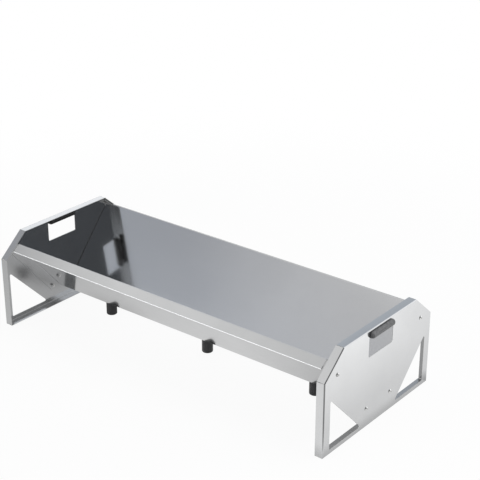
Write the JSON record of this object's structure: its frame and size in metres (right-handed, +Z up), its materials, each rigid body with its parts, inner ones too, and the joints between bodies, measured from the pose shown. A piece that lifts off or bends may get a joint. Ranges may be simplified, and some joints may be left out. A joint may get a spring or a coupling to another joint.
{
  "type": "feed trough",
  "caption": "Long V-shaped sheet-metal feed trough for small livestock, standing on folded end plates with triangular cut-outs, hand holds with rubber grips, and rubber feet.",
  "frame": {"origin": "on the floor, below the middle of the trough", "axes": "+X along the trough from the left end plate to the right one, +Y from the front wall to the back wall, +Z up"},
  "size_m": [0.9578, 0.4, 0.228],
  "materials": {
    "sheet_steel": "smooth bright zinc-coated sheet, slightly blurred mirror reflections",
    "zinc_plating": "bright plated fasteners",
    "rubber": "dull dark grey moulded rubber"
  },
  "bodies": {
    "root": {"trough_body": "sheet_steel", "end_plate_left": "sheet_steel", "end_plate_right": "sheet_steel", "grip_left": "rubber", "grip_right": "rubber", "bolt_left_front_upper": "zinc_plating", "bolt_left_front_lower": "zinc_plating", "bolt_left_back_upper": "zinc_plating", "bolt_left_back_lower": "zinc_plating", "bolt_right_front_upper": "zinc_plating", "bolt_right_front_lower": "zinc_plating", "bolt_right_back_upper": "zinc_plating", "bolt_right_back_lower": "zinc_plating", "nut_left_front_upper": "zinc_plating", "nut_left_front_lower": "zinc_plating", "nut_left_back_upper": "zinc_plating", "nut_left_back_lower": "zinc_plating", "nut_right_front_upper": "zinc_plating", "nut_right_front_lower": "zinc_plating", "nut_right_back_upper": "zinc_plating", "nut_right_back_lower": "zinc_plating", "foot_left": "rubber", "foot_middle": "rubber", "foot_right": "rubber", "foot_washer_left": "zinc_plating", "foot_washer_middle": "zinc_plating", "foot_washer_right": "zinc_plating", "foot_bolt_left": "zinc_plating", "foot_bolt_middle": "zinc_plating", "foot_bolt_right": "zinc_plating"}
  },
  "joints": []
}
